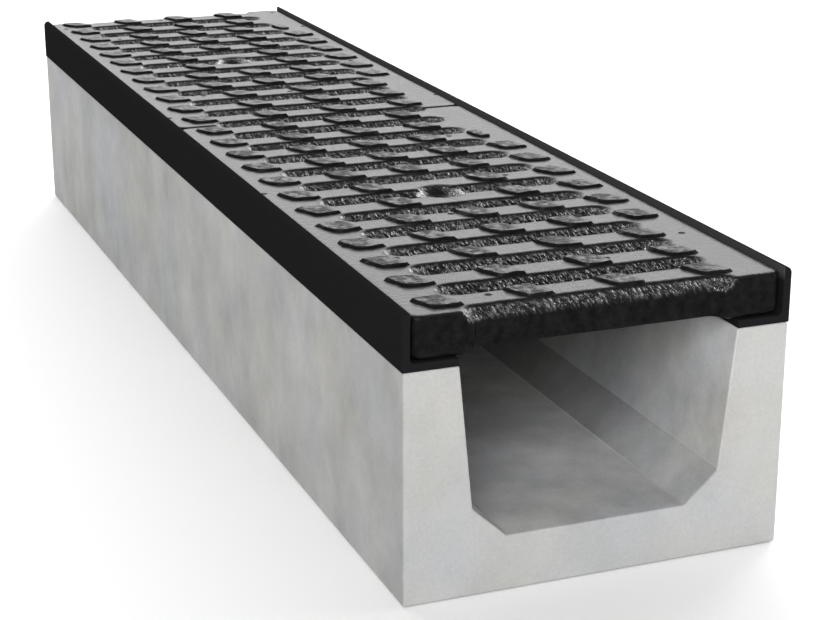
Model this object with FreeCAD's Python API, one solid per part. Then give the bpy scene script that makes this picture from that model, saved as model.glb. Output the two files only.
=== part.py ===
import FreeCAD, Part
import os

from FreeCAD import Vector

# Drainage channel: a precast concrete trough, an angle rail along each top edge,
# and slotted cast gratings that lie end to end between the rails.
# The water runs along X, Y is across, +Z is up and the bed is at Z = 0. Millimetres.

# Concrete trough
channel_length = 1000.0
channel_width = 250.0        # over the outer faces of the rails
body_height = 145.0          # bed to the underside of the rails
floor_thickness = 35.0
wall_draft = 9.0             # each wall leans in by this from the mouth to its foot
haunch_run = 22.0            # sloped corner between wall and floor
haunch_rise = 20.0

# Edge rails, rolled angles that sit on the walls
rail_height = 35.0           # upright leg
rail_seat = 35.0             # lying leg
rail_thickness = 5.0
rail_crown_radius = 4.0      # outer top corner
rail_root_radius = 3.0       # inner corner
rail_overhang = 0.5          # the rail stands this far outside the concrete

# Cast-in anchors under the rails
anchor_count = 4             # under each rail
anchor_width = 25.0
anchor_thickness = 4.0
anchor_depth = 50.0
anchor_foot = 10.0           # bent end, towards the outer side

# Gratings
grate_count = 2
grate_side_clearance = 1.5
grate_end_clearance = 1.0
grate_recess = 3.0           # flat face below the rail tops
grate_corner_radius = 6.0
grate_edge_break = 1.0       # bevel along the long top edges
bar_count = 12
bar_lift = 2.0               # underside of the bars above the seat
pad_overhang = 4.0           # end pads reach this far past the seat
pad_slope = 4.0              # run of the slope from a pad up to the bars' underside

# Slots: a sloped lead-in, then a straight shaft
slot_width = 21.0
slot_margin = 30.0           # from the grating's long edge to the end of a slot
lead_in_depth = 8.0
lead_in_side = 2.5
lead_in_end = 8.0            # the lead-in is longer at the slot's ends

# Studs on the bars: leaning blocks with sloped ends
stud_height = 1.8
stud_length = 20.5
stud_lean = 9.5              # shift along the bar from its far edge to its near edge
stud_end_slope = 1.6
stud_edge_gap = 0.6          # from the bar's edge to the stud's foot
stud_edge_slope = 0.6
stud_root = 1.0              # depth of the stud's foot inside the bar
stud_pitch = 48.0
studs_in_row = 5
studs_in_bare_row = 4
near_bare_rows = 3           # rows at the near end that leave a bare strip on the +Y margin
near_bare_reach = 40.0       # from the long edge to the last stud of such a row
far_bare_rows = 2
far_bare_reach = 58.0
short_stud_length = 10.0     # last stud of the row before the far bare rows
near_boss_shift = 10.0       # left stud on the bar before the boss is drawn in by this much
far_boss_shift = 5.0         # both studs on the bar behind the boss

# Dished boss with a bolt hole, in the middle slot
boss_radius = 18.0
boss_draft = 2.0
boss_drop = 2.0              # rim below the flat face
dish_radius = 17.5
dish_seat_radius = 9.0
dish_depth = 6.0
bolt_hole_radius = 6.5

# Cutting tools run past the faces that they cut
overcut = 5.0

# Places that the pieces share
half_width = channel_width / 2
half_mouth = half_width - rail_seat
half_body = half_width - rail_overhang
seat_z = body_height + rail_thickness
rail_top_z = body_height + rail_height
flat_z = rail_top_z - grate_recess
half_clear = half_width - rail_thickness
half_grate = half_clear - grate_side_clearance
grate_bay = channel_length / grate_count
grate_length = grate_bay - 2 * grate_end_clearance
slot_pitch = grate_bay / bar_count
bar_width = slot_pitch - slot_width
slot_tip = half_grate - slot_margin


def face_of(corners):
    """Flat face through corner points, in order."""
    return Part.Face(Part.makePolygon(corners + [corners[0]]))


def line(start, end):
    return Part.LineSegment(start, end).toShape()


def arc(start, middle, end):
    return Part.Arc(start, middle, end).toShape()


def quarter(start, corner_centre, end):
    """Quarter circle between two points about a centre."""
    chord_middle = (start + end) * 0.5
    outward = chord_middle - corner_centre
    outward.normalize()
    radius = (start - corner_centre).Length
    return arc(start, corner_centre + outward * radius, end)


def along_channel(face, length):
    """Sweep a section along X, centred on the channel."""
    solid = face.extrude(Vector(length, 0, 0))
    solid.translate(Vector(-length / 2, 0, 0))
    return solid


def mirrored(shape):
    return shape.mirror(Vector(0, 0, 0), Vector(0, 1, 0))


def anchors():
    """Bent flat anchors under the rail on the +Y side, as one group."""
    middle_y = (half_mouth + half_body) / 2
    inner_y = middle_y - anchor_thickness / 2
    outer_y = middle_y + anchor_thickness / 2
    tip_y = outer_y + anchor_foot
    tip_z = body_height - anchor_depth
    section = face_of([
        Vector(0, inner_y, body_height),
        Vector(0, outer_y, body_height),
        Vector(0, outer_y, tip_z + anchor_thickness),
        Vector(0, tip_y, tip_z + anchor_thickness),
        Vector(0, tip_y, tip_z),
        Vector(0, inner_y, tip_z),
    ])
    anchor = along_channel(section, anchor_width)
    spacing = channel_length / anchor_count
    group = []
    for index in range(anchor_count):
        place = Vector((index + 0.5) * spacing - channel_length / 2, 0, 0)
        group.append(anchor.translated(place))
    return Part.makeCompound(group)


def concrete_body(cast_in):
    """U-shaped trough, cast round the anchors."""
    foot_y = half_mouth - wall_draft
    floor_y = foot_y - haunch_run
    foot_z = floor_thickness + haunch_rise
    section = face_of([
        Vector(0, -half_body, 0),
        Vector(0, half_body, 0),
        Vector(0, half_body, body_height),
        Vector(0, half_mouth, body_height),
        Vector(0, foot_y, foot_z),
        Vector(0, floor_y, floor_thickness),
        Vector(0, -floor_y, floor_thickness),
        Vector(0, -foot_y, foot_z),
        Vector(0, -half_mouth, body_height),
        Vector(0, -half_body, body_height),
    ])
    return along_channel(section, channel_length).cut(cast_in)


def edge_rail():
    """Angle rail on the +Y wall."""
    crown_z = rail_top_z - rail_crown_radius
    crown_y = half_width - rail_crown_radius
    root_y = half_clear - rail_root_radius
    root_z = seat_z + rail_root_radius
    foot = Vector(0, half_width, body_height)
    crown_low = Vector(0, half_width, crown_z)
    crown_high = Vector(0, crown_y, rail_top_z)
    lip = Vector(0, half_clear, rail_top_z)
    root_high = Vector(0, half_clear, root_z)
    root_low = Vector(0, root_y, seat_z)
    toe_high = Vector(0, half_mouth, seat_z)
    toe_low = Vector(0, half_mouth, body_height)
    outline = Part.Wire([
        line(foot, crown_low),
        quarter(crown_low, Vector(0, crown_y, crown_z), crown_high),
        line(crown_high, lip),
        line(lip, root_high),
        quarter(root_high, Vector(0, root_y, root_z), root_low),
        line(root_low, toe_high),
        line(toe_high, toe_low),
        line(toe_low, foot),
    ])
    return along_channel(Part.Face(outline), channel_length)


def plate():
    """Grating blank: round-cornered in plan, bevelled to clear the rail roots."""
    clear = rail_root_radius
    section = face_of([
        Vector(0, clear - half_grate, seat_z),
        Vector(0, half_grate - clear, seat_z),
        Vector(0, half_grate, seat_z + clear),
        Vector(0, half_grate, flat_z - grate_edge_break),
        Vector(0, half_grate - grate_edge_break, flat_z),
        Vector(0, grate_edge_break - half_grate, flat_z),
        Vector(0, -half_grate, flat_z - grate_edge_break),
        Vector(0, -half_grate, seat_z + clear),
    ])
    blank = along_channel(section, grate_length)
    corner = Vector(-grate_length / 2, -half_grate, seat_z - overcut)
    plan = Part.makeBox(grate_length, 2 * half_grate, flat_z - seat_z + 2 * overcut, corner)
    upright = [edge for edge in plan.Edges if abs(edge.tangentAt(edge.FirstParameter).z) > 0.5]
    return blank.common(plan.makeFillet(grate_corner_radius, upright))


def slot_outline(width, tip, z):
    """Round-ended outline across the bars, at height z."""
    side = width / 2
    straight = tip - side
    return Part.Wire([
        line(Vector(side, -straight, z), Vector(side, straight, z)),
        arc(Vector(side, straight, z), Vector(0, tip, z), Vector(-side, straight, z)),
        line(Vector(-side, straight, z), Vector(-side, -straight, z)),
        arc(Vector(-side, -straight, z), Vector(0, -tip, z), Vector(side, -straight, z)),
    ])


def slot():
    """Space of one slot: sloped lead-in from the flat face, then a straight shaft to the seat."""
    waist_z = flat_z - lead_in_depth
    lip = slot_outline(slot_width, slot_tip, flat_z)
    waist = slot_outline(slot_width - 2 * lead_in_side, slot_tip - lead_in_end, waist_z)
    lead_in = Part.makeLoft([waist, lip], True, True)
    shaft = Part.Face(waist).extrude(Vector(0, 0, seat_z - waist_z))
    above = Part.Face(lip).extrude(Vector(0, 0, overcut))
    return lead_in.fuse([shaft, above])


def stud(x, y, length):
    """Leaning block on a bar, its sides sloped, its centre at x, y."""
    foot_reach = bar_width / 2 - stud_edge_gap
    rings = []
    for z, reach, half in (
        (flat_z - stud_root, foot_reach, length / 2),
        (flat_z + stud_height, foot_reach - stud_edge_slope, length / 2 - stud_end_slope),
    ):
        lean = stud_lean / 2 * reach / foot_reach
        rings.append([
            Vector(x + reach, y + lean - half, z),
            Vector(x + reach, y + lean + half, z),
            Vector(x - reach, y - lean + half, z),
            Vector(x - reach, y - lean - half, z),
        ])
    low, high = rings
    faces = [face_of(low), face_of(high)]
    for index in range(len(low)):
        following = (index + 1) % len(low)
        faces.append(face_of([low[index], low[following], high[following], high[index]]))
    return Part.makeSolid(Part.makeShell(faces))


def spread(first, last, count):
    """Evenly spaced places from first to last."""
    return [first + (last - first) * index / (count - 1) for index in range(count)]


def row_of_studs(row):
    """Places and lengths of the studs on one bar, counted from the near end."""
    last = stud_pitch * (studs_in_row - 1) / 2
    full = [(y, stud_length) for y in spread(-last, last, studs_in_row)]
    far_row = bar_count - far_bare_rows
    if row < near_bare_rows:
        places = spread(-last, half_grate - near_bare_reach, studs_in_bare_row)
        return [(y, stud_length) for y in places]
    if row >= far_row:
        places = spread(-last, half_grate - far_bare_reach, studs_in_bare_row)
        return [(y, stud_length) for y in places]
    if row in (bar_count // 2 - 1, bar_count // 2):
        beside = [place for place in full if abs(place[0]) > dish_radius]
        shifts = (near_boss_shift, 0) if row < bar_count // 2 else (far_boss_shift, -far_boss_shift)
        beside[1] = (beside[1][0] + shifts[0], stud_length)
        beside[2] = (beside[2][0] + shifts[1], stud_length)
        return beside
    if row == far_row - 1:
        cut_back = (stud_length - short_stud_length) / 2
        return full[:-1] + [(last - cut_back, short_stud_length)]
    return full


def grate():
    """One grating, centred over the middle of the channel."""
    near_end = grate_bay / 2
    studs = []
    for row in range(bar_count):
        bar_x = near_end - (row + 0.5) * slot_pitch
        for y, length in row_of_studs(row):
            studs.append(stud(bar_x, y, length))
    casting = plate().fuse(studs)

    boss_height = flat_z - boss_drop - seat_z
    boss = Part.makeCone(boss_radius - boss_draft, boss_radius, boss_height, Vector(0, 0, seat_z))
    spaces = []
    for index in range(bar_count + 1):
        place = near_end - index * slot_pitch
        space = slot().translated(Vector(place, 0, 0))
        if index == bar_count // 2:
            boss_x = place
            space = space.cut(boss.translated(Vector(boss_x, 0, 0)))
        spaces.append(space)

    pad_y = half_mouth - pad_overhang
    bars_y = pad_y - pad_slope
    bars_z = seat_z + bar_lift
    relief = face_of([
        Vector(0, -pad_y, seat_z - overcut),
        Vector(0, pad_y, seat_z - overcut),
        Vector(0, pad_y, seat_z),
        Vector(0, bars_y, bars_z),
        Vector(0, -bars_y, bars_z),
        Vector(0, -pad_y, seat_z),
    ])
    spaces.append(along_channel(relief, grate_bay))

    dish_slope = (dish_radius - dish_seat_radius) / dish_depth
    dish_mouth = dish_radius + dish_slope * overcut
    dish_seat = Vector(boss_x, 0, flat_z - dish_depth)
    spaces.append(Part.makeCone(dish_seat_radius, dish_mouth, dish_depth + overcut, dish_seat))
    hole_foot = Vector(boss_x, 0, seat_z - overcut)
    spaces.append(Part.makeCylinder(bolt_hole_radius, flat_z - seat_z + overcut, hole_foot))
    return casting.cut(spaces).removeSplitter()


def main():
    os.makedirs("parts", exist_ok=True)
    right_anchors = anchors()
    left_anchors = mirrored(right_anchors)
    right_rail = edge_rail()
    pieces = {
        "concrete_body": concrete_body([right_anchors, left_anchors]),
        "rail_anchors_left": left_anchors,
        "rail_anchors_right": right_anchors,
        "edge_rail_left": mirrored(right_rail),
        "edge_rail_right": right_rail,
    }
    grating = grate()
    pieces["grate_front"] = grating.translated(Vector(grate_bay / 2, 0, 0))
    pieces["grate_rear"] = grating.translated(Vector(-grate_bay / 2, 0, 0))
    for node, shape in pieces.items():
        shape.exportStep(f"parts/{node}.step")
        print(node, len(shape.Solids), "solid(s)", round(shape.Volume / 1000), "cm3", shape.isValid())


main()
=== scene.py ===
import math

import bpy
from mathutils import Matrix, Vector


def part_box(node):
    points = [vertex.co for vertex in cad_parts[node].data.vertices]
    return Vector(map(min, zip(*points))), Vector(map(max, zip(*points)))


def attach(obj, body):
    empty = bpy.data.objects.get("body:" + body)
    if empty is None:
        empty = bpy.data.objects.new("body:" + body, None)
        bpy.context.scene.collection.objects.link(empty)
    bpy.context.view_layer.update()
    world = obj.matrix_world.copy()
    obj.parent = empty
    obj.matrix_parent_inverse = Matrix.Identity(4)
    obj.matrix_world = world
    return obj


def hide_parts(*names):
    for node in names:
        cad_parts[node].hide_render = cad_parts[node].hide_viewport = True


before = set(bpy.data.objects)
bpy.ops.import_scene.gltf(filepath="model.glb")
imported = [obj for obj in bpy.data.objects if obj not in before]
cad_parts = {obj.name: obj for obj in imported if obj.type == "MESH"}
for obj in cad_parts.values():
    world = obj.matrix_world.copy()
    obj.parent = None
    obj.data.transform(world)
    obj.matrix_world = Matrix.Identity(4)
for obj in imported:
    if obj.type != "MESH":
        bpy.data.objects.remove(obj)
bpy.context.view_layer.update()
mm = 0.001
weldReach = 1e-6                 # m, points closer than this become one


def linearColour(hexText):
    # sRGB hex to the linear RGBA that shader sockets take
    channels = [int(hexText[i:i + 2], 16) / 255 for i in (1, 3, 5)]
    return [c / 12.92 if c <= 0.04045 else ((c + 0.055) / 1.055) ** 2.4 for c in channels] + [1.0]


def addNode(tree, kind, inputs=None, out=0, **settings):
    # one node with its settings; gives the output asked for, or for None the node itself
    # an input takes a value, a socket to link, or a list of sockets
    node = tree.nodes.new(kind)
    for name, value in settings.items():
        setattr(node, name, value)
    for key, value in (inputs or {}).items():
        sources = value if isinstance(value, list) and value else [value]
        if isinstance(sources[0], bpy.types.NodeSocket):
            for source in sources:
                tree.links.new(source, node.inputs[key])
        else:
            node.inputs[key].default_value = value
    return node if out is None else node.outputs[out]


def newTree(name, sizes):
    # geometry tree with one named input for each size
    tree = bpy.data.node_groups.new(name, "GeometryNodeTree")
    tree.interface.new_socket("Geometry", in_out="OUTPUT", socket_type="NodeSocketGeometry")
    tree.interface.new_socket("Geometry", in_out="INPUT", socket_type="NodeSocketGeometry")
    kinds = {int: "NodeSocketInt", float: "NodeSocketFloat", tuple: "NodeSocketVector",
             type(None): "NodeSocketObject"}
    for label, size in sizes.items():
        socket = tree.interface.new_socket(label, in_out="INPUT", socket_type=kinds[type(size)])
        if size is not None:
            socket.default_value = size
    tree.interface.new_socket("Material", in_out="INPUT", socket_type="NodeSocketMaterial")
    return tree, addNode(tree, "NodeGroupInput", out=None).outputs


def closeTree(tree, given, geometry):
    # instances made real and the material set, as the export needs
    real = addNode(tree, "GeometryNodeRealizeInstances", {0: geometry})
    coated = addNode(tree, "GeometryNodeSetMaterial", {"Geometry": real, "Material": given["Material"]})
    addNode(tree, "NodeGroupOutput", {0: coated}, out=None)
    return tree


def setTree(holder, tree, sizes, material):
    # sockets are set by identifier before the object is first evaluated
    modifier = holder.modifiers.new(tree.name, "NODES")
    modifier.node_group = tree
    for item in tree.interface.items_tree:
        if item.in_out == "INPUT" and item.name in sizes:
            modifier[item.identifier] = sizes[item.name]
        elif item.in_out == "INPUT" and item.name == "Material":
            modifier[item.identifier] = material


def addObject(name, data):
    added = bpy.data.objects.new(name, data)
    bpy.context.scene.collection.objects.link(added)
    return added


def newHolder(name, points, edges=(), attributes=None):
    # start mesh that a tree works on
    mesh = bpy.data.meshes.new(name)
    mesh.from_pydata([tuple(p) for p in points], list(edges), [])
    for label, values in (attributes or {}).items():
        mesh.attributes.new(label, "FLOAT", "POINT").data.foreach_set("value", values)
    return addObject(name, mesh)


def bakePiece(holder, name, move=(0, 0, 0)):
    # evaluated result as a plain mesh on a new object, with no modifier left
    bpy.context.view_layer.update()
    evaluated = holder.evaluated_get(bpy.context.evaluated_depsgraph_get())
    mesh = bpy.data.meshes.new_from_object(evaluated)
    mesh.name = name
    mesh.transform(Matrix.Translation(move))
    piece = addObject(name, mesh)
    bpy.data.objects.remove(holder)
    mesh.calc_loop_triangles()
    print("piece", name, len(mesh.loop_triangles), "triangles")
    return piece


def newMaterial(name):
    # in a Mix node of the looks below, inputs 2 and 3 are its numbers, 6 and 7 its colours
    material = bpy.data.materials.new(name)
    material.use_nodes = True
    tree = material.node_tree
    return material, tree, tree.nodes["Principled BSDF"]


ironLook = {
    "paint": "#0d0d0e",          # black dip paint
    "paintDull": "#1e1e1f",      # and where it dried dull
    "dustAndSheen": "#2a2a2a",           # dull film on the trodden flats, painted lighter also as their sheen
    "sand": "#080809",           # sand-rough lead-ins, in the furrows
    "sandDustAndGlint": "#464646",       # and thin dust on their ridges, lighter also as painted glints
    "studDust": "#1a1a1b",       # dull film on the lumpy stud tops
    "flatRoughness": 0.33,
    "studRoughness": 0.58,
    "sandRoughness": 0.34,
    "pitRoughness": 0.9,
    "specular": 0.08,
    "streak": 1.9,               # mm, sand torn down the lead-ins; drawn coarser than real sand so that it shows
    "streakLean": 34.0,          # degrees, sideways from upright
    "streakStretch": 3.0,
    "streakDepth": 1.9,          # mm
    "lump": 5.2,                 # mm, lumps of the stud tops
    "lumpHeight": 2.8,           # mm
    "lumpLeast": 0.12,           # share of that height where they are trodden smooth
    "worn": 5.5,                 # mm, patches of them that are trodden smooth
    "grain": 2.0,                # mm, fine grain of the flats, coarser than real for the same reason
    "grainHeight": 1.0,          # mm
    "grainShare": 0.3,           # of that height
    "pitSpacing": 62.0,          # mm, few small blow holes in the flats
    "pitRadius": 2.6,            # mm
    "pitFloor": 0.6,             # share of the radius that has the full depth
    "pitDepth": 1.2,             # mm
    "coatLeast": 0.3,            # thin paint in the furrows, full on the ridges
    "coatRoughness": 0.25,
    "coatIor": 2.2,              # above that of paint, so that the sparkles show
    "dullSpan": (0.3, 0.75),     # values of a noise where its look starts and where it is full
    "ridgeGlintSpan": (0.52, 0.63),
    "wornSpan": (0.36, 0.54),    # from trodden smooth to lumpy
    "coatSpan": (0.45, 0.62),
}


def ductileIronDipPainted(look):
    # sand-cast ductile iron dipped in black paint: deep black, a grey sheen on the flats in low light, mottled
    # stud tops, and sparkles where the paint lies thick over the sand-rough lead-ins
    # a painted sheen lightens the flats, and painted glints the ridges of the lead-ins
    material, tree, shader = newMaterial("ductileIronDipPainted")
    place = addNode(tree, "ShaderNodeTexCoord", out="Object")
    mouth, studTop, flat = [addNode(tree, "ShaderNodeAttribute", attribute_name=label, out="Fac")
                            for label in ("slotMouth", "studTop", "topFlat")]
    drawn = addNode(tree, "ShaderNodeMapping", {
        "Vector": place, "Rotation": (math.radians(look["streakLean"]), 0, 0),
        "Scale": (1.0, 1.0, look["streakStretch"])}, vector_type="TEXTURE")
    noise = {}
    for name, vector, detail, roughness in (("streak", drawn, 1.5, 0.6), ("lump", place, 3.0, 0.6),
                                            ("grain", place, 4.0, 0.5), ("worn", place, 2.0, 0.5)):
        noise[name] = addNode(tree, "ShaderNodeTexNoise", {
            "Vector": vector, "Scale": 1 / (look[name] * mm), "Detail": detail, "Roughness": roughness}, out="Fac")
    share = {}
    for name, source, least in (("dull", "lump", 0.0), ("ridgeGlint", "streak", 0.0), ("worn", "worn", 0.0),
                                ("coat", "streak", look["coatLeast"])):
        start, full = look[name + "Span"]
        share[name] = addNode(tree, "ShaderNodeMapRange", {
            "Value": noise[source], "From Min": start, "From Max": full, "To Min": least})
    coarse = addNode(tree, "ShaderNodeMath", {0: share["worn"], 1: studTop}, operation="MULTIPLY")
    pitEdge = look["pitRadius"] / look["pitSpacing"]
    pit = addNode(tree, "ShaderNodeTexVoronoi", {"Vector": place, "Scale": 1 / (look["pitSpacing"] * mm)},
                  voronoi_dimensions="2D", out="Distance")
    pit = addNode(tree, "ShaderNodeMapRange", {
        "Value": pit, "From Min": pitEdge, "From Max": look["pitFloor"] * pitEdge}, interpolation_type="SMOOTHSTEP")
    pit = addNode(tree, "ShaderNodeMath", {0: pit, 1: flat}, operation="MULTIPLY")

    # each cover lies over the ones before it; the light ridges of the lead-ins are dust and painted glints
    furrowsAndGlints = addNode(tree, "ShaderNodeMix", {
        0: share["ridgeGlint"], 6: linearColour(look["sand"]), 7: linearColour(look["sandDustAndGlint"])}, data_type="RGBA", out=2)
    tone = linearColour(look["paint"])
    # the film on the flats is dust and a painted sheen in one
    for factor, cover in ((share["dull"], linearColour(look["paintDull"])), (flat, linearColour(look["dustAndSheen"])),
                          (studTop, linearColour(look["studDust"])), (mouth, furrowsAndGlints)):
        tone = addNode(tree, "ShaderNodeMix", {0: factor, 6: tone, 7: cover}, data_type="RGBA", out=2)
    tree.links.new(tone, shader.inputs["Base Color"])
    gloss = look["flatRoughness"]
    for factor, cover in ((coarse, "studRoughness"), (mouth, "sandRoughness"), (pit, "pitRoughness")):
        gloss = addNode(tree, "ShaderNodeMix", {0: factor, 2: gloss, 3: look[cover]}, data_type="FLOAT")
    tree.links.new(gloss, shader.inputs["Roughness"])

    uneven = addNode(tree, "ShaderNodeMapRange", {"Value": coarse, "To Min": look["lumpLeast"]})
    relief = addNode(tree, "ShaderNodeBump", {
        "Strength": look["grainShare"], "Distance": look["grainHeight"] * mm, "Height": noise["grain"]})
    for strength, depth, height, sunken in ((1.0, "pitDepth", pit, True), (uneven, "lumpHeight", noise["lump"], False),
                                            (mouth, "streakDepth", noise["streak"], False)):
        relief = addNode(tree, "ShaderNodeBump", {
            "Strength": strength, "Distance": look[depth] * mm, "Height": height, "Normal": relief}, invert=sunken)
    tree.links.new(relief, shader.inputs["Normal"])
    tree.links.new(relief, shader.inputs["Coat Normal"])
    thick = addNode(tree, "ShaderNodeMath", {0: share["coat"], 1: mouth}, operation="MULTIPLY")
    tree.links.new(thick, shader.inputs["Coat Weight"])
    shader.inputs["Coat Roughness"].default_value = look["coatRoughness"]
    shader.inputs["Coat IOR"].default_value = look["coatIor"]
    shader.inputs["Specular IOR Level"].default_value = look["specular"]
    return material


railLook = {
    "paint": "#1e1e1f",          # dead flat black
    "dustAndSheen": "#484848",           # faded strip inside, above the gratings: dust, and a painted sheen
    "dustAndSheenHeights": (171.0, 176.0),   # mm, where it starts and where it is full
    "dustAndSheenFacing": (0.35, 0.95),  # and likewise by how far a face looks inward
    "roughness": 0.6,
    "specular": 0.0,
    "peel": 2.5,                 # mm, orange peel of the spray
    "peelHeight": 0.2,           # mm
    "peelShare": 0.12,           # of that height
    "peelGloss": 0.06,           # swing of the roughness with it
}


def steelAngleSprayPainted(look):
    # rolled steel angle sprayed flat black: an even, near-black skin with faint orange peel, faded inside above
    # the gratings by dust and a painted sheen
    material, tree, shader = newMaterial("steelAngleSprayPainted")
    place = addNode(tree, "ShaderNodeTexCoord", out="Object")
    peel = addNode(tree, "ShaderNodeTexNoise", {"Vector": place, "Scale": 1 / (look["peel"] * mm), "Detail": 2.0},
                   out="Fac")
    inward = addNode(tree, "ShaderNodeAttribute", attribute_name="faceIn", out="Fac")
    height = addNode(tree, "ShaderNodeSeparateXYZ", {0: place}, out="Z")
    foot, full = look["dustAndSheenHeights"]
    bare = addNode(tree, "ShaderNodeMapRange", {"Value": height, "From Min": foot * mm, "From Max": full * mm})
    start, full = look["dustAndSheenFacing"]
    # the inward faces up high are lightened by dust and a painted sheen
    dustAndSheenShare = addNode(tree, "ShaderNodeMapRange", {"Value": inward, "From Min": start, "From Max": full})
    dustAndSheenShare = addNode(tree, "ShaderNodeMath", {0: dustAndSheenShare, 1: bare}, operation="MULTIPLY")
    tone = addNode(tree, "ShaderNodeMix", {0: dustAndSheenShare, 6: linearColour(look["paint"]), 7: linearColour(look["dustAndSheen"])},
                   data_type="RGBA", out=2)
    tree.links.new(tone, shader.inputs["Base Color"])
    gloss = addNode(tree, "ShaderNodeMapRange", {
        "Value": peel, "To Min": look["roughness"] - look["peelGloss"],
        "To Max": look["roughness"] + look["peelGloss"]})
    tree.links.new(gloss, shader.inputs["Roughness"])
    bump = addNode(tree, "ShaderNodeBump", {
        "Strength": look["peelShare"], "Distance": look["peelHeight"] * mm, "Height": peel})
    tree.links.new(bump, shader.inputs["Normal"])
    shader.inputs["Specular IOR Level"].default_value = look["specular"]
    return material


concreteLook = {
    "cold": "#b4b5b7",           # dry cement paste, bluish where the skin is dense
    "warm": "#b7b6b2",           # and tan where it is rust-tinted
    "roughness": 0.85,
    "specular": 0.3,
    "cloud": 46.0,               # mm, clouds left by the oil on the form
    "bloom": 80.0,               # mm, patches of tan and blue
    "upright": 0.8,              # clouds and patches are drawn a little taller than wide
    "speck": 1.6,                # mm, fine sand
    "speckHeight": 0.3,          # mm
    "speckShare": 0.15,          # of that height
    "cloudDepth": 0.30,          # how dark the clouds are; the three below say where
    "endClouds": 1.2,            # least on the trowelled ends
    "sideClouds": 2.6,
    "innerClouds": 3.6,          # most inside, where water ran
    "speckLevels": (0.95, 1.04),
    "sideShadeLevel": 0.86,           # outer sides painted a little darker than the ends, as painted shade
    "cornerShadeLevels": (0.50, 1.0),     # sloped corners of the trough: painted shade inside, full tone at the open ends
    "wallShadeAndLightLevels": (0.82, 1.22),      # inner walls: painted shade inside, painted light at the open ends
    "paintedShadeEnds": (360.0, 470.0),      # mm from the middle, where the painted shade starts to fade and where it is gone
    "warmSpan": (0.35, 0.65),    # values where a look starts and where it is full: of the patches,
    "speckSpan": (0.3, 0.7),     # of the sand,
    "sideSpan": (-0.5, -0.9),    # and of how far a face looks inward or up
    "insideSpan": (0.3, 0.7),
    "wallSpan": (0.8, 0.95),
    "cornerFacing": (0.74, 0.1),     # how far the sloped corners look up, and the leeway
}


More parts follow.
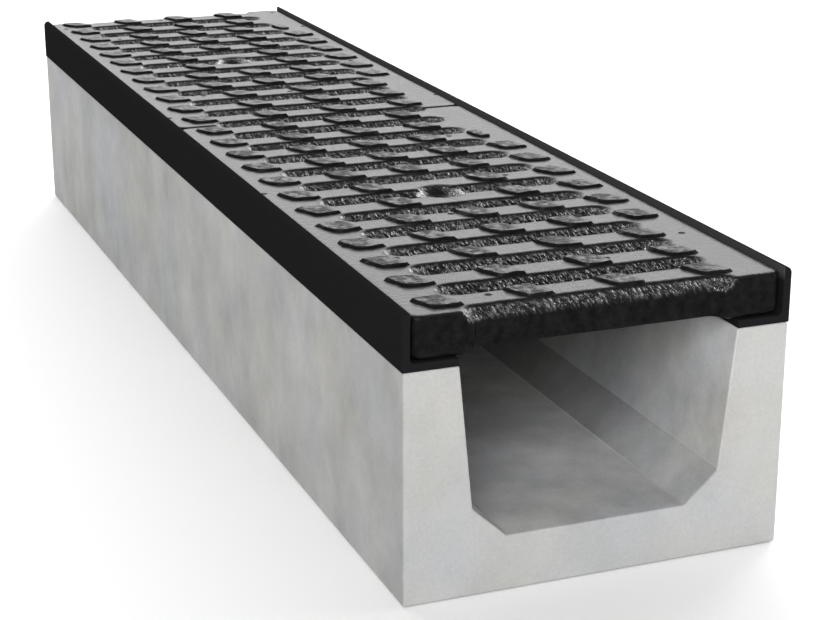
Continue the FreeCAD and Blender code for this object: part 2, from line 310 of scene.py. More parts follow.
def concreteSteelFormed(look):
    # fine concrete cast against oiled steel: matt light grey with soft clouds, faint tan and blue blooms and fine
    # sand speck
    # painted shade darkens the outer sides and the trough inside, and painted light brightens the inner walls at the
    # open ends
    material, tree, shader = newMaterial("concreteSteelFormed")
    place = addNode(tree, "ShaderNodeTexCoord", out="Object")
    drawn = addNode(tree, "ShaderNodeMapping", {"Vector": place, "Scale": (1.0, 1.0, look["upright"])})
    noise = {}
    for name, vector, detail, roughness in (("cloud", drawn, 6.0, 0.66), ("bloom", drawn, 4.0, 0.5),
                                            ("speck", place, 2.0, 0.5)):
        noise[name] = addNode(tree, "ShaderNodeTexNoise", {
            "Vector": vector, "Scale": 1 / (look[name] * mm), "Detail": detail, "Roughness": roughness}, out="Fac")
    up = addNode(tree, "ShaderNodeAttribute", attribute_name="faceUp", out="Fac")
    inward = addNode(tree, "ShaderNodeAttribute", attribute_name="faceIn", out="Fac")
    inside = addNode(tree, "ShaderNodeMath", {0: up, 1: inward}, operation="MAXIMUM")
    share = {}
    for name, value in (("warm", noise["bloom"]), ("side", inward), ("inside", inside)):
        start, full = look[name + "Span"]
        share[name] = addNode(tree, "ShaderNodeMapRange", {"Value": value, "From Min": start, "From Max": full})
    tone = addNode(tree, "ShaderNodeMix", {
        0: share["warm"], 6: linearColour(look["cold"]), 7: linearColour(look["warm"])}, data_type="RGBA", out=2)

    # clouds on the ends, the outer sides and inside
    clouds = look["endClouds"]
    for factor, cover in ((share["side"], "sideClouds"), (share["inside"], "innerClouds")):
        clouds = addNode(tree, "ShaderNodeMix", {0: factor, 2: clouds, 3: look[cover]}, data_type="FLOAT")
    depth = addNode(tree, "ShaderNodeMath", {0: clouds, 1: look["cloudDepth"]}, operation="MULTIPLY")
    over = addNode(tree, "ShaderNodeMath", {0: noise["cloud"], 1: 0.5}, operation="SUBTRACT")
    level = addNode(tree, "ShaderNodeMath", {0: over, 1: depth, 2: 1.0}, operation="MULTIPLY_ADD")

    # painted shade inside, painted light on the walls at the open ends, and each part's own level
    facing, leeway = look["cornerFacing"]
    # the sloped corners, which take the painted shade
    corner = addNode(tree, "ShaderNodeMath", {0: up, 1: facing, 2: leeway}, operation="COMPARE")
    fromMiddle = addNode(tree, "ShaderNodeSeparateXYZ", {0: place}, out="X")
    fromMiddle = addNode(tree, "ShaderNodeMath", {0: fromMiddle}, operation="ABSOLUTE")
    start, gone = look["paintedShadeEnds"]
    shadeByEnd = {}
    for part in ("cornerShadeLevels", "wallShadeAndLightLevels"):
        shadeByEnd[part] = addNode(tree, "ShaderNodeMapRange", {
            "Value": fromMiddle, "From Min": start * mm, "From Max": gone * mm, "To Min": look[part][0],
            "To Max": look[part][1]}, interpolation_type="SMOOTHSTEP")
    # levels for the sand speck, the painted shade of the sloped corners, the painted shade and light of the inner
    # walls, and the painted shade of the outer sides
    for value, span, levels in ((noise["speck"], look["speckSpan"], look["speckLevels"]),
                                (corner, (0.0, 1.0), (1.0, shadeByEnd["cornerShadeLevels"])),
                                (inward, look["wallSpan"], (1.0, shadeByEnd["wallShadeAndLightLevels"])),
                                (share["side"], (0.0, 1.0), (1.0, look["sideShadeLevel"]))):
        factor = addNode(tree, "ShaderNodeMapRange", {
            "Value": value, "From Min": span[0], "From Max": span[1], "To Min": levels[0], "To Max": levels[1]})
        level = addNode(tree, "ShaderNodeMath", {0: level, 1: factor}, operation="MULTIPLY")
    tone = addNode(tree, "ShaderNodeVectorMath", {0: tone, "Scale": level}, operation="SCALE")
    tree.links.new(tone, shader.inputs["Base Color"])
    shader.inputs["Roughness"].default_value = look["roughness"]
    shader.inputs["Specular IOR Level"].default_value = look["specular"]
    bump = addNode(tree, "ShaderNodeBump", {
        "Strength": look["speckShare"], "Distance": look["speckHeight"] * mm, "Height": noise["speck"]})
    tree.links.new(bump, shader.inputs["Normal"])
    return material


anchorLook = {
    "dark": "#3f3c39",
    "light": "#5a5652",
    "scale": 8.0,                # mm, flakes of mill scale
    "metallic": 0.9,
    "roughness": 0.55,
}


def flatSteelHotRolled(look):
    # hot-rolled flat bar: dark mill scale, dull
    material, tree, shader = newMaterial("flatSteelHotRolled")
    place = addNode(tree, "ShaderNodeTexCoord", out="Object")
    flake = addNode(tree, "ShaderNodeTexNoise", {"Vector": place, "Scale": 1 / (look["scale"] * mm), "Detail": 4.0},
                    out="Fac")
    tone = addNode(tree, "ShaderNodeMix", {0: flake, 6: linearColour(look["dark"]), 7: linearColour(look["light"])},
                   data_type="RGBA", out=2)
    tree.links.new(tone, shader.inputs["Base Color"])
    shader.inputs["Metallic"].default_value = look["metallic"]
    shader.inputs["Roughness"].default_value = look["roughness"]
    return material


ironPaint = ductileIronDipPainted(ironLook)
railPaint = steelAngleSprayPainted(railLook)
concrete = concreteSteelFormed(concreteLook)
anchorSteel = flatSteelHotRolled(anchorLook)
print("materials made")


sweep = {"cornerSteps": 6, "arrisSteps": 3, "arrisAngle": 25.0}    # edges sharper than that angle are broken


def sweptSectionTree():
    # outline with a radius at each corner, drawn out along X
    tree, given = newTree("sweptSection", {"Length": 1.0, "Corner Steps": sweep["cornerSteps"]})
    outline = addNode(tree, "GeometryNodeMeshToCurve", {0: given["Geometry"]})
    radius = addNode(tree, "GeometryNodeInputNamedAttribute", {"Name": "cornerRadius"}, data_type="FLOAT")
    rounded = addNode(tree, "GeometryNodeFilletCurve", {
        "Curve": outline, "Count": given["Corner Steps"], "Radius": radius, "Limit Radius": True}, mode="POLY")
    section = addNode(tree, "GeometryNodeFillCurve", {"Curve": rounded}, mode="NGONS")
    reach = addNode(tree, "ShaderNodeCombineXYZ", {"Z": given["Length"]})
    run = addNode(tree, "GeometryNodeExtrudeMesh", {
        "Mesh": section, "Offset": reach, "Offset Scale": 1.0, "Individual": False})
    back = addNode(tree, "GeometryNodeFlipFaces", {0: section})
    both = addNode(tree, "GeometryNodeJoinGeometry", {0: [run, back]})
    closed = addNode(tree, "GeometryNodeMergeByDistance", {"Geometry": both, "Distance": weldReach})
    start = addNode(tree, "ShaderNodeMath", {0: given["Length"], 1: -0.5}, operation="MULTIPLY")
    middle = addNode(tree, "ShaderNodeCombineXYZ", {"X": start})
    laid = addNode(tree, "GeometryNodeTransform", {
        "Geometry": closed, "Translation": middle, "Rotation": (math.pi / 2, 0, math.pi / 2)})
    # how far each face looks up and towards the middle: the paint and the concrete read these
    facing = addNode(tree, "ShaderNodeSeparateXYZ", {0: addNode(tree, "GeometryNodeInputNormal")}, out=None).outputs
    across = addNode(tree, "ShaderNodeSeparateXYZ", {0: addNode(tree, "GeometryNodeInputPosition")}, out="Y")
    side = addNode(tree, "ShaderNodeMath", {0: across}, operation="SIGN")
    inward = addNode(tree, "ShaderNodeMath", {0: side, 1: facing["Y"]}, operation="MULTIPLY")
    inward = addNode(tree, "ShaderNodeMath", {0: inward, 1: -1.0}, operation="MULTIPLY")
    for label, share in (("faceUp", facing["Z"]), ("faceIn", inward)):
        laid = addNode(tree, "GeometryNodeStoreNamedAttribute", {"Geometry": laid, "Name": label, "Value": share},
                       data_type="FLOAT", domain="FACE")
    return closeTree(tree, given, laid)


def sweepPiece(name, corners, length, arris, material):
    # corners are (across, up, radius) in mm, in order round the section
    count = len(corners)
    edges = [(i, (i + 1) % count) for i in range(count)]
    holder = newHolder(name + "Outline", [(c[0] * mm, c[1] * mm, 0) for c in corners], edges,
                       {"cornerRadius": [c[2] * mm for c in corners]})
    setTree(holder, sweptSection, {"Length": length * mm, "Corner Steps": sweep["cornerSteps"]}, material)
    bevel = holder.modifiers.new("arris", "BEVEL")
    bevel.width = arris * mm
    bevel.segments = sweep["arrisSteps"]
    bevel.limit_method = "ANGLE"
    bevel.angle_limit = math.radians(sweep["arrisAngle"])
    bevel.use_clamp_overlap = False
    return bakePiece(holder, name)


sweptSection = sweptSectionTree()

low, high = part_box("concrete_body")
trough = {
    "length": (high.x - low.x) / mm,
    "halfWidth": high.y / mm,
    "height": high.z / mm,
    "floor": 35.0,
    "halfMouth": 90.0,
    "halfFoot": 81.0,            # walls lean in to here
    "footHeight": 55.0,
    "halfFloor": 59.0,
    "arris": 1.2,                # worn edge of the casting
}
halfSection = [
    (trough["halfWidth"], 0.0),
    (trough["halfWidth"], trough["height"]),
    (trough["halfMouth"], trough["height"]),
    (trough["halfFoot"], trough["footHeight"]),
    (trough["halfFloor"], trough["floor"]),
]
troughCorners = halfSection + [(-y, z) for y, z in reversed(halfSection)]
troughCorners = [(y, z, 0.0) for y, z in troughCorners]
troughPiece = sweepPiece("concrete_trough", troughCorners, trough["length"], trough["arris"], concrete)
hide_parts("concrete_body")
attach(troughPiece, "root")

rail = {"leg": 35.0, "thickness": 5.0, "crown": 4.0, "root": 3.0, "toe": 1.2, "edge": 0.5, "arris": 0.4}   # mm
for side, node in ((-1, "edge_rail_left"), (1, "edge_rail_right")):
    low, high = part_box(node)
    outer = max(abs(low.y), abs(high.y)) / mm
    foot, top = low.z / mm, high.z / mm
    thickness = rail["thickness"]
    corners = [
        (outer, foot, rail["edge"]),
        (outer, top, rail["crown"]),
        (outer - thickness, top, rail["edge"]),
        (outer - thickness, foot + thickness, rail["root"]),
        (outer - rail["leg"], foot + thickness, rail["toe"]),
        (outer - rail["leg"], foot, rail["edge"]),
    ]
    corners = [(side * y, z, r) for y, z, r in corners]
    if side < 0:
        corners.reverse()        # keeps the outline turning the same way
    length = (high.x - low.x) / mm
    piece = sweepPiece(node.replace("edge_rail", "angle_rail"), corners, length, rail["arris"], railPaint)
    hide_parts(node)
    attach(piece, "root")
print("trough and rails made")

low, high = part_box("grate_front")
grating = {                      # mm
    "length": (high.x - low.x) / mm,
    "width": (high.y - low.y) / mm,
    "seat": low.z / mm,
    "flat": 177.0,               # height of the trodden flats
    "corner": 6.0,
    "footBevel": 3.0,
    "edgeBreak": 1.0,
    "bars": 12,
    "pitch": 500 / 12,
    "slotWidth": 21.0,
    "slotLength": 177.0,
    "slotRound": 0.4999,         # radius as a share of the width, just under half so that the arcs don't meet
    "leadIn": 8.0,               # depth of the sloped mouth of a slot
    "waistWidth": 16.0,
    "waistLength": 161.0,
    "reliefWidth": 172.0,        # under the bars, between the end pads
    "reliefTop": 164.0,
    "reliefLength": 1000.0,      # past both ends
    "reliefOvercut": 1.0,
    "barLift": 2.0,
    "bossRadius": 18.0,
    "bossFoot": 16.0,
    "bossDrop": 2.0,
    "dishRadius": 17.5,
    "dishSeat": 9.0,
    "dishDepth": 6.0,
    "boltHole": 6.5,
    "boltHoleDepth": 60.0,       # past both faces
    "overcut": 5.0,
    "cornerSteps": 6,            # steps and sides that round forms are drawn with
    "slotSteps": 8,
    "bossSides": 48,
    "dishSides": 64,
    "boltHoleSides": 40,
}
stud = {                         # mm, where no share or count
    "height": 1.95,
    "root": 1.5,
    "length": 20.5,
    "across": 19.46,
    "lean": 9.5,
    "endSlope": 1.5,
    "edgeSlope": 0.6,
    "cells": 8,                  # grid cells each way on a stud, for the lumps of its skin
    "roundOff": 0.10,            # share by which the corners are drawn in
    "pitch": 48.0,
    "perRow": 5,
    "perBareRow": 4,
    "nearBareRows": 3,           # rows that leave a bare strip on the right margin
    "nearBareLast": 78.5,
    "farBareRows": 2,
    "farBareLast": 60.5,
    "shortStretch": 0.49,        # the short stud before the far bare rows, and how far in from its margin it lies
    "shortShift": 5.25,
    "lumpSpan": (0.55, 0.25),    # shares of its length, right of which lumps are gone and left of which they are full
    "besideBoss": {5: (10.0, 0.0), 6: (5.0, 5.0)},   # rows beside the boss: how far left and right studs are drawn in
}


def gratingSizes():
    # the tree's named inputs, in metres and as ratios, worked out from the sizes above
    g = grating
    rise = g["flat"] - g["seat"]
    footSpread = [size / (size - 2 * g["footBevel"]) for size in (g["length"], g["width"])]
    edgeSpread = [(size - 2 * g["edgeBreak"]) / size for size in (g["length"], g["width"])]
    mouthSpread = (g["slotWidth"] / g["waistWidth"], g["slotLength"] / g["waistLength"])
    dishRun = (g["dishRadius"] - g["dishSeat"]) / g["dishDepth"]
    reliefSlope = (g["reliefWidth"] - g["reliefTop"]) / g["barLift"]
    reliefFoot = g["reliefWidth"] + reliefSlope * g["reliefOvercut"]
    lengths = {
        "Length": g["length"],
        "Width": g["width"],
        "Corner Radius": g["corner"],
        "Slot Width": g["slotWidth"],
        "Slot Length": g["slotLength"],
        "Slot Round": g["slotWidth"] * g["slotRound"],
        "Boss Radius": g["bossRadius"],
        "Boss Foot Radius": g["bossFoot"],
        "Boss Height": rise - g["bossDrop"],
        "Relief Length": g["reliefLength"],
        "Relief Width": reliefFoot,
        "Dish Seat Radius": g["dishSeat"],
        "Dish Mouth Radius": g["dishRadius"] + g["overcut"] * dishRun,
        "Dish Height": g["dishDepth"] + g["overcut"],
        "Bolt Hole Radius": g["boltHole"],
        "Bolt Hole Depth": g["boltHoleDepth"],
    }
    heights = {
        "Seat": g["seat"],
        "Foot Rise": g["footBevel"],
        "Side Rise": rise - g["footBevel"] - g["edgeBreak"],
        "Edge Rise": g["edgeBreak"],
        "Slot Foot": g["seat"] - g["overcut"],
        "Shaft Rise": rise - g["leadIn"] + g["overcut"],
        "Lead In Rise": g["leadIn"],
        "Overcut Rise": g["overcut"],
        "Relief Foot": g["seat"] - g["reliefOvercut"],
        "Relief Rise": g["barLift"] + g["reliefOvercut"],
        "Dish Foot": g["flat"] - g["dishDepth"],
    }
    sizes = {label: size * mm for label, size in lengths.items()}
    sizes.update({label: (0.0, 0.0, size * mm) for label, size in heights.items()})
    sizes.update({
        "Foot Scale": (1 / footSpread[0], 1 / footSpread[1], 1.0),
        "Foot Spread": (*footSpread, 1.0),
        "Edge Spread": (*edgeSpread, 1.0),
        "Waist Scale": (1 / mouthSpread[0], 1 / mouthSpread[1], 1.0),
        "Lead In Spread": (*mouthSpread, 1.0),
        "Relief Spread": (1.0, g["reliefTop"] / reliefFoot, 1.0),
        "Slots": g["bars"] + 1,
        "Middle Slot": g["bars"] // 2,
        "First Slot": (-g["pitch"] * g["bars"] / 2 * mm, 0.0, 0.0),
        "Slot Step": (g["pitch"] * mm, 0.0, 0.0),
    })
    return sizes


def stackLevels(tree, plan, levels):
    # closed block on a flat plan: each level lifts the top face, then spreads or draws it in
    place = addNode(tree, "GeometryNodeInputPosition")
    under = addNode(tree, "GeometryNodeFlipFaces", {0: plan})
    block, top = plan, None
    for rise, spread in levels:
        lift = addNode(tree, "GeometryNodeExtrudeMesh", {
            "Mesh": block, "Offset": rise, "Offset Scale": 1.0, "Individual": False}, out=None)
        if top:
            tree.links.new(top, lift.inputs["Selection"])
        block, top = lift.outputs["Mesh"], lift.outputs["Top"]
        if spread:
            moved = addNode(tree, "ShaderNodeVectorMath", {0: place, 1: spread}, operation="MULTIPLY")
            block = addNode(tree, "GeometryNodeSetPosition", {"Geometry": block, "Selection": top, "Position": moved})
    both = addNode(tree, "GeometryNodeJoinGeometry", {0: [block, under]})
    return addNode(tree, "GeometryNodeMergeByDistance", {"Geometry": both, "Distance": weldReach})


def roundedPlan(tree, width, length, place, scale=(1.0, 1.0, 1.0), radius=None, steps=0):
    # flat rectangle, with round corners where a radius is given
    plan = addNode(tree, "GeometryNodeCurvePrimitiveQuadrilateral", {"Width": width, "Height": length},
                   mode="RECTANGLE")
    if radius:
        plan = addNode(tree, "GeometryNodeFilletCurve", {
            "Curve": plan, "Count": steps, "Radius": radius, "Limit Radius": True}, mode="POLY")
    plan = addNode(tree, "GeometryNodeFillCurve", {"Curve": plan}, mode="NGONS")
    return addNode(tree, "GeometryNodeTransform", {"Geometry": plan, "Translation": place, "Scale": scale})


def slottedGratingTree(sizes):
    tree, given = newTree("slottedGrating", sizes)

    # plate with a bevelled foot and a broken top edge
    plan = roundedPlan(tree, given["Length"], given["Width"], given["Seat"], given["Foot Scale"],
                       given["Corner Radius"], grating["cornerSteps"])
    plate = stackLevels(tree, plan, [(given["Foot Rise"], given["Foot Spread"]), (given["Side Rise"], None),
                                     (given["Edge Rise"], given["Edge Spread"])])

    # space of one slot: straight shaft, then the sloped lead-in
    plan = roundedPlan(tree, given["Slot Width"], given["Slot Length"], given["Slot Foot"], given["Waist Scale"],
                       given["Slot Round"], grating["slotSteps"])
    space = stackLevels(tree, plan, [(given["Shaft Rise"], None), (given["Lead In Rise"], given["Lead In Spread"]),
                                     (given["Overcut Rise"], None)])

    # slots along the grating with half slots at its ends; the boss is left standing in the middle one
    boss = addNode(tree, "GeometryNodeMeshCone", {
        "Vertices": grating["bossSides"], "Radius Top": given["Boss Radius"],
        "Radius Bottom": given["Boss Foot Radius"], "Depth": given["Boss Height"]})
    boss = addNode(tree, "GeometryNodeTransform", {"Geometry": boss, "Translation": given["Seat"]})
    bossSpace = addNode(tree, "GeometryNodeMeshBoolean", {"Mesh 1": space, "Mesh 2": [boss]},
                        operation="DIFFERENCE", solver="MANIFOLD")
    row = addNode(tree, "GeometryNodeMeshLine", {
        "Count": given["Slots"], "Start Location": given["First Slot"], "Offset": given["Slot Step"]},
        mode="OFFSET", count_mode="TOTAL")
    plain = addNode(tree, "FunctionNodeCompare", {
        2: addNode(tree, "GeometryNodeInputIndex"), 3: given["Middle Slot"]}, data_type="INT", operation="NOT_EQUAL")
    slots = addNode(tree, "GeometryNodeInstanceOnPoints", {"Points": row, "Selection": plain, "Instance": space})
    slots = addNode(tree, "GeometryNodeRealizeInstances", {0: slots})

    # underside cleared between the end pads, dish and bolt hole
    plan = roundedPlan(tree, given["Relief Length"], given["Relief Width"], given["Relief Foot"])
    relief = stackLevels(tree, plan, [(given["Relief Rise"], given["Relief Spread"])])
    dish = addNode(tree, "GeometryNodeMeshCone", {
        "Vertices": grating["dishSides"], "Radius Top": given["Dish Mouth Radius"],
        "Radius Bottom": given["Dish Seat Radius"], "Depth": given["Dish Height"]})
    dish = addNode(tree, "GeometryNodeTransform", {"Geometry": dish, "Translation": given["Dish Foot"]})
    hole = addNode(tree, "GeometryNodeMeshCylinder", {
        "Vertices": grating["boltHoleSides"], "Radius": given["Bolt Hole Radius"], "Depth": given["Bolt Hole Depth"]})
    hole = addNode(tree, "GeometryNodeTransform", {"Geometry": hole, "Translation": given["Seat"]})
    casting = plate
    for cutters in ([slots, bossSpace], [relief], [dish], [hole]):
        casting = addNode(tree, "GeometryNodeMeshBoolean", {"Mesh 1": casting, "Mesh 2": cutters},
                          operation="DIFFERENCE", solver="MANIFOLD")
    return closeTree(tree, given, casting)


def studSizes():
    s = stud
    return {
        "Length": s["length"] * mm,
        "Across": s["across"] * mm,
        "Lean": s["lean"] / s["across"],
        "Corners": s["cells"] + 1,
        "Round Off": s["roundOff"],
        "Root": (0.0, 0.0, -s["root"] * mm),
        "Root Rise": (0.0, 0.0, s["root"] * mm),
        "Rise": (0.0, 0.0, s["height"] * mm),
        "Spread": (1 - 2 * s["edgeSlope"] / s["across"], 1 - 2 * s["endSlope"] / s["length"], 1.0),
    }


def leaningStudTree(sizes):
    # a fine grid leaned over into a parallelogram and raised, one on each point of the start mesh
    tree, given = newTree("leaningStuds", sizes)
    plan = addNode(tree, "GeometryNodeMeshGrid", {
        "Size X": given["Across"], "Size Y": given["Length"], "Vertices X": given["Corners"],
        "Vertices Y": given["Corners"]})
    place = addNode(tree, "GeometryNodeInputPosition")
    spot = addNode(tree, "ShaderNodeSeparateXYZ", {0: place}, out=None).outputs
    drawnIn = {}
    for axis, span in (("X", given["Across"]), ("Y", given["Length"])):
        share = spot[axis]       # of the way from the middle, to the fourth power
        for step, value in (("DIVIDE", span), ("MULTIPLY", 2.0), ("POWER", 4.0), ("MULTIPLY", given["Round Off"])):
            share = addNode(tree, "ShaderNodeMath", {0: share, 1: value}, operation=step)
        drawnIn[axis] = addNode(tree, "ShaderNodeMath", {0: 1.0, 1: share}, operation="SUBTRACT")
    rounded = addNode(tree, "ShaderNodeCombineXYZ", {"X": drawnIn["Y"], "Y": drawnIn["X"], "Z": 1.0})
    rounded = addNode(tree, "ShaderNodeVectorMath", {0: place, 1: rounded}, operation="MULTIPLY")
    plan = addNode(tree, "GeometryNodeSetPosition", {"Geometry": plan, "Position": rounded})
    lean = addNode(tree, "ShaderNodeMath", {0: spot["X"], 1: given["Lean"]}, operation="MULTIPLY")
    lean = addNode(tree, "ShaderNodeCombineXYZ", {"Y": lean})
    plan = addNode(tree, "GeometryNodeSetPosition", {"Geometry": plan, "Offset": lean})
    plan = addNode(tree, "GeometryNodeTransform", {"Geometry": plan, "Translation": given["Root"]})
    # lumps on the left of a stud, worn smooth to the right
    sideways = addNode(tree, "ShaderNodeMath", {0: spot["Y"], 1: given["Length"]}, operation="DIVIDE")
    start, full = stud["lumpSpan"]
    worn = addNode(tree, "ShaderNodeMapRange", {"Value": sideways, "From Min": start, "From Max": full})
    plan = addNode(tree, "GeometryNodeStoreNamedAttribute", {"Geometry": plan, "Name": "lumpShare", "Value": worn},
                   data_type="FLOAT", domain="POINT")
    block = stackLevels(tree, plan, [(given["Root Rise"], None), (given["Rise"], given["Spread"])])
    stretch = addNode(tree, "GeometryNodeInputNamedAttribute", {"Name": "studStretch"}, data_type="FLOAT")
    stretch = addNode(tree, "ShaderNodeCombineXYZ", {"X": 1.0, "Y": stretch, "Z": 1.0})
    studs = addNode(tree, "GeometryNodeInstanceOnPoints", {
        "Points": given["Geometry"], "Instance": block, "Scale": stretch})
    studs = addNode(tree, "GeometryNodeRealizeInstances", {0: studs})
    studs = addNode(tree, "GeometryNodeStoreNamedAttribute", {"Geometry": studs, "Name": "onStud", "Value": 1.0},
                    data_type="FLOAT", domain="POINT")
    return closeTree(tree, given, studs)


def studPlaces():
    # centre and stretch of every stud, rows counted from the near end
    bars = grating["bars"]
    last = stud["pitch"] * (stud["perRow"] - 1) / 2
    full = [(-last + stud["pitch"] * i, 1.0) for i in range(stud["perRow"])]
    bareRows = {}
    for end in (stud["nearBareLast"], stud["farBareLast"]):
        gap = (end + last) / (stud["perBareRow"] - 1)
        bareRows[end] = [(-last + gap * i, 1.0) for i in range(stud["perBareRow"])]
    places, stretches = [], []
    for rowIndex in range(bars):
        row = full
        if rowIndex < stud["nearBareRows"]:
            row = bareRows[stud["nearBareLast"]]
        elif rowIndex >= bars - stud["farBareRows"]:
            row = bareRows[stud["farBareLast"]]
        elif rowIndex in stud["besideBoss"]:
            drawn = stud["besideBoss"][rowIndex]
            row = [full[0], (full[1][0] + drawn[0], 1.0), (full[3][0] - drawn[1], 1.0), full[4]]
        elif rowIndex == bars - stud["farBareRows"] - 1:
            row = full[:-1] + [(last - stud["shortShift"], stud["shortStretch"])]
        x = (bars / 2 - 0.5 - rowIndex) * grating["pitch"]
        places += [(x * mm, y * mm, grating["flat"] * mm) for y, stretch in row]
        stretches += [stretch for y, stretch in row]
    return places, stretches


skin = {
    "Studs": None,
    "Seed": 3.0,
    "Flat Height": grating["flat"] * mm,
    "Lead In Foot": (grating["flat"] - grating["leadIn"]) * mm,
    "Slot Tip": (grating["slotLength"] / 2 + 1.0) * mm,      # 1 mm past the end of a slot
    "Grain Size": 3.2 * mm,
    "Grain Height": 0.5 * mm,
    "Wave Size": 17 * mm,
    "Wave Height": 1.1 * mm,
    "Stud Ripple Size": 9.0 * mm,
    "Stud Ripple": 3.8 * mm,     # full swing, so that an edge wanders by about a quarter of it
    "Ripple Shape": (1.0, 1.0, 0.3),     # less of it upward
    "Stud Lumps": 1.0,           # share of the lumps that is not trodden smooth
    "Pool Start": 11.0 * mm,     # paint pools smooth round the bolt hole
    "Pool Full": 8.0 * mm,
    "Pool Squeeze": (0.6, 1.0, 0.0),     # the pool is longer along the grating
    "Crisp Angle": math.radians(32),     # edges of the studs sharper than this stay crisp
}


zones = {                        # where each zone of the casting starts and where it is full
    "raised": (0.9 * mm, 1.5 * mm),      # above the flats
    "sunk": (-0.8 * mm, -1.7 * mm),
    "nearFlat": (0.7 * mm, 0.3 * mm),    # from the flats, up or down
    "inMouth": (-1.0 * mm, 0.5 * mm),    # above the foot of the lead-in
    "upward": (0.04, 0.16),              # by how far the surface looks up
    "level": (0.75, 0.95),
}


def castZones(tree, given):
    # stud tops stand above the flats; lead-ins slope and lie below them
    place = addNode(tree, "GeometryNodeInputPosition")
    spot = addNode(tree, "ShaderNodeSeparateXYZ", {0: place}, out=None).outputs
    facing = addNode(tree, "ShaderNodeSeparateXYZ", {0: addNode(tree, "GeometryNodeInputNormal")}, out="Z")
    above = addNode(tree, "ShaderNodeMath", {0: spot["Z"], 1: given["Flat Height"]}, operation="SUBTRACT")
    off = addNode(tree, "ShaderNodeMath", {0: above}, operation="ABSOLUTE")
    overFoot = addNode(tree, "ShaderNodeMath", {0: spot["Z"], 1: given["Lead In Foot"]}, operation="SUBTRACT")
    within = {}
    for name, value in (("raised", above), ("sunk", above), ("nearFlat", off), ("inMouth", overFoot),
                        ("upward", facing), ("level", facing)):
        start, full = zones[name]
        within[name] = addNode(tree, "ShaderNodeMapRange", {"Value": value, "From Min": start, "From Max": full})
    across = addNode(tree, "ShaderNodeMath", {0: spot["Y"]}, operation="ABSOLUTE")
    inSlot = addNode(tree, "ShaderNodeMath", {0: across, 1: given["Slot Tip"]}, operation="LESS_THAN")
    squeezed = addNode(tree, "ShaderNodeVectorMath", {0: place, 1: given["Pool Squeeze"]}, operation="MULTIPLY")
    fromHole = addNode(tree, "ShaderNodeVectorMath", {0: squeezed}, operation="LENGTH", out="Value")
    rough = addNode(tree, "ShaderNodeMapRange", {
        "Value": fromHole, "From Min": given["Pool Full"], "From Max": given["Pool Start"]})
    onStud, lumpShare = [addNode(tree, "GeometryNodeInputNamedAttribute", {"Name": label}, data_type="FLOAT")
                         for label in ("onStud", "lumpShare")]
    products = []                # slot mouths, stud tops and flats
    for shares in ((within["sunk"], within["inMouth"], within["upward"], inSlot, rough),
                   (lumpShare, within["raised"], given["Stud Lumps"]), (within["nearFlat"], within["level"])):
        product = shares[0]
        for share in shares[1:]:
            product = addNode(tree, "ShaderNodeMath", {0: product, 1: share}, operation="MULTIPLY")
        products.append(product)
    return (*products, onStud)


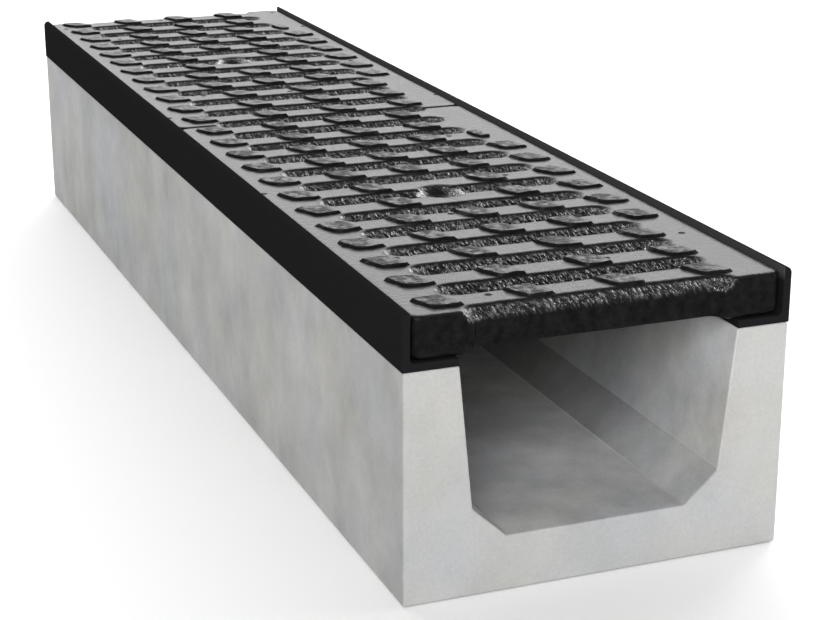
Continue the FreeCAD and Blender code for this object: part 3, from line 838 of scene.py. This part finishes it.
def castSkinTree():
    # sand-cast skin on the remeshed casting and its studs: wavy edges, rough lead-ins and stud tops
    tree, given = newTree("castSkin", skin)
    studs = addNode(tree, "GeometryNodeObjectInfo", {"Object": given["Studs"]}, transform_space="ORIGINAL",
                    out="Geometry")
    marked = addNode(tree, "GeometryNodeJoinGeometry", {0: [given["Geometry"], studs]})
    place = addNode(tree, "GeometryNodeInputPosition")
    normal = addNode(tree, "GeometryNodeInputNormal")
    shift = addNode(tree, "ShaderNodeCombineXYZ", {"X": given["Seed"], "Y": given["Seed"], "Z": given["Seed"]})
    seeded = addNode(tree, "ShaderNodeVectorMath", {0: place, 1: shift}, operation="ADD")
    mouth, studTop, flat, onStud = castZones(tree, given)
    sandy = addNode(tree, "ShaderNodeMath", {0: studTop, 1: mouth}, operation="MAXIMUM")
    noise = {}
    for name, detail, kind in (("Grain", 2.0, "Fac"), ("Wave", 1.0, "Color"), ("Stud Ripple", 1.0, "Color")):
        scale = addNode(tree, "ShaderNodeMath", {0: 1.0, 1: given[name + " Size"]}, operation="DIVIDE")
        noise[name] = addNode(tree, "ShaderNodeTexNoise", {"Vector": seeded, "Scale": scale, "Detail": detail},
                              out=kind)

    grain = addNode(tree, "ShaderNodeMath", {0: noise["Grain"], 1: 0.5}, operation="SUBTRACT")
    for share in (sandy, given["Grain Height"]):
        grain = addNode(tree, "ShaderNodeMath", {0: grain, 1: share}, operation="MULTIPLY")
    move = addNode(tree, "ShaderNodeVectorMath", {0: normal, "Scale": grain}, operation="SCALE")
    sideways = addNode(tree, "ShaderNodeCombineXYZ", {"X": given["Wave Height"], "Y": given["Wave Height"]})
    swing = addNode(tree, "ShaderNodeMath", {0: onStud, 1: given["Stud Ripple"]}, operation="MULTIPLY")
    for name, shape, scale in (("Wave", sideways, 1.0), ("Stud Ripple", given["Ripple Shape"], swing)):
        sway = addNode(tree, "ShaderNodeVectorMath", {0: noise[name], 1: (0.5, 0.5, 0.5)}, operation="SUBTRACT")
        sway = addNode(tree, "ShaderNodeVectorMath", {0: sway, 1: shape}, operation="MULTIPLY")
        sway = addNode(tree, "ShaderNodeVectorMath", {0: sway, "Scale": scale}, operation="SCALE")
        move = addNode(tree, "ShaderNodeVectorMath", {0: move, 1: sway}, operation="ADD")
    for label, share in (("slotMouth", mouth), ("studTop", studTop), ("topFlat", flat)):     # the paint reads these
        marked = addNode(tree, "GeometryNodeStoreNamedAttribute", {"Geometry": marked, "Name": label, "Value": share},
                         data_type="FLOAT", domain="POINT")
    moved = addNode(tree, "GeometryNodeSetPosition", {"Geometry": marked, "Offset": move})

    # studs keep crisp edges
    smooth = addNode(tree, "GeometryNodeSetShadeSmooth", {"Geometry": moved})
    angle = addNode(tree, "GeometryNodeInputMeshEdgeAngle", out="Unsigned Angle")
    steep = addNode(tree, "FunctionNodeCompare", {0: angle, 1: given["Crisp Angle"]}, data_type="FLOAT",
                    operation="GREATER_THAN")
    crisp = addNode(tree, "ShaderNodeMath", {0: steep, 1: onStud}, operation="MULTIPLY")
    smooth = addNode(tree, "GeometryNodeSetShadeSmooth", {
        "Geometry": smooth, "Selection": crisp, "Shade Smooth": False}, domain="EDGE")
    return closeTree(tree, given, smooth)


slottedGrating = slottedGratingTree(gratingSizes())
leaningStuds = leaningStudTree(studSizes())
castSkin = castSkinTree()
castForm = {"voxel": 1.93, "softening": 0.12}                # voxel in mm
for node, seed, lumps in (("grate_front", 3.0, 1.0), ("grate_rear", 11.0, 0.6)):
    low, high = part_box(node)
    places, stretches = studPlaces()
    holder = newHolder(node + "_places", places, (), {"studStretch": stretches})
    setTree(holder, leaningStuds, studSizes(), ironPaint)
    studs = bakePiece(holder, node + "_studs")
    holder = newHolder(node + "_start", [])
    setTree(holder, slottedGrating, gratingSizes(), ironPaint)
    sharp = bakePiece(holder, node + "_sharp")
    holder = addObject(node + "_cast", sharp.data.copy())
    remesh = holder.modifiers.new("castForm", "REMESH")      # one closed skin of even quads
    remesh.mode = "VOXEL"
    remesh.voxel_size = castForm["voxel"] * mm
    remesh.use_smooth_shade = True
    snap = holder.modifiers.new("castFaces", "SHRINKWRAP")   # back on the true faces
    snap.target = sharp
    snap.wrap_method = "NEAREST_SURFACEPOINT"
    relax = holder.modifiers.new("castEdges", "SMOOTH")      # soft cast edges
    relax.factor = castForm["softening"]
    relax.iterations = 1
    setTree(holder, castSkin, dict(skin, **{"Studs": studs, "Seed": seed, "Stud Lumps": lumps}), ironPaint)
    piece = bakePiece(holder, node.replace("grate", "cast_grating"), ((low.x + high.x) / 2, 0, 0))
    bpy.data.objects.remove(sharp)
    bpy.data.objects.remove(studs)
    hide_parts(node)
    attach(piece, "root")
print("gratings made")

for node in ("rail_anchors_left", "rail_anchors_right"):
    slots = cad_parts[node].data.materials
    slots.clear()
    slots.append(anchorSteel)

studio = {
    "floorHalf": 12.0,           # m
    "floorDrop": 0.0005,         # m, clear of the underside
    "paper": "#fafafa",
    "paperRoughness": 0.9,
    "paperSpecular": 0.1,
    "sky": "#ffffff",
    "skyStrength": 0.32,
}
half = studio["floorHalf"]
floorMesh = bpy.data.meshes.new("floor")
floorMesh.from_pydata([(-half, -half, 0), (half, -half, 0), (half, half, 0), (-half, half, 0)], [], [(0, 1, 2, 3)])
floor = addObject("floor", floorMesh)
floor.location.z = -studio["floorDrop"]
floor.visible_glossy = False     # white paper mirrored in the paint would grey the near lead-in
paper, _, paperShader = newMaterial("studioPaper")
paperShader.inputs["Base Color"].default_value = linearColour(studio["paper"])
paperShader.inputs["Roughness"].default_value = studio["paperRoughness"]
paperShader.inputs["Specular IOR Level"].default_value = studio["paperSpecular"]
floorMesh.materials.append(paper)

world = bpy.data.worlds.new("studio")
bpy.context.scene.world = world
world.use_nodes = True
background = world.node_tree.nodes["Background"]
background.inputs["Color"].default_value = linearColour(studio["sky"])
background.inputs["Strength"].default_value = studio["skyStrength"]
bpy.context.scene.view_settings.view_transform = "Standard"

softboxes = {                    # m
    "frontLeft": {"at": (5.2, -2.8, 3.2), "aim": (0.1, 0, 0.1), "size": (3.0, 3.0), "watts": 295},
    "rightStrip": {"at": (-0.4, 2.6, 0.9), "aim": (-0.4, 0, 0.17), "size": (3.8, 0.7), "watts": 55},
    "rightBack": {"at": (-2.2, 3.4, 1.9), "aim": (0.0, 0, 0.17), "size": (1.2, 1.2), "watts": 50},
    "backStrip": {"at": (-1.9, 0.0, 2.4), "aim": (0.0, 0, 0.17), "size": (3.4, 0.6), "watts": 45},
    "backSheen": {"at": (-6.0, 2.5, 3.1), "aim": (0.0, 0, 0.18), "size": (6.4, 3.2), "watts": 355},
}
for name, box in softboxes.items():
    light = bpy.data.lights.new(name, "AREA")
    light.shape = "RECTANGLE"
    light.size, light.size_y = box["size"]
    light.energy = box["watts"]
    lamp = addObject(name, light)
    lamp.location = box["at"]
    lamp.rotation_euler = (Vector(box["aim"]) - Vector(box["at"])).to_track_quat("-Z", "Y").to_euler()

shot = {
    "at": (1.4545, -0.4927, 0.5215),
    "yaw": 21.413,               # degrees
    "pitch": 18.327,
    "focalPx": 1951.0,
    "widthPx": 826,
    "sensor": 36.0,              # mm
}
yaw, pitch = math.radians(shot["yaw"]), math.radians(shot["pitch"])
sight = Vector((-math.cos(yaw) * math.cos(pitch), math.sin(yaw) * math.cos(pitch), -math.sin(pitch)))
camera = bpy.data.cameras.new("photoCamera")
camera.sensor_fit = "HORIZONTAL"
camera.sensor_width = shot["sensor"]
camera.lens = shot["sensor"] * shot["focalPx"] / shot["widthPx"]
eye = addObject("photoCamera", camera)
eye.location = shot["at"]
eye.rotation_euler = sight.to_track_quat("-Z", "Y").to_euler()
bpy.context.scene.camera = eye
print("stage made")
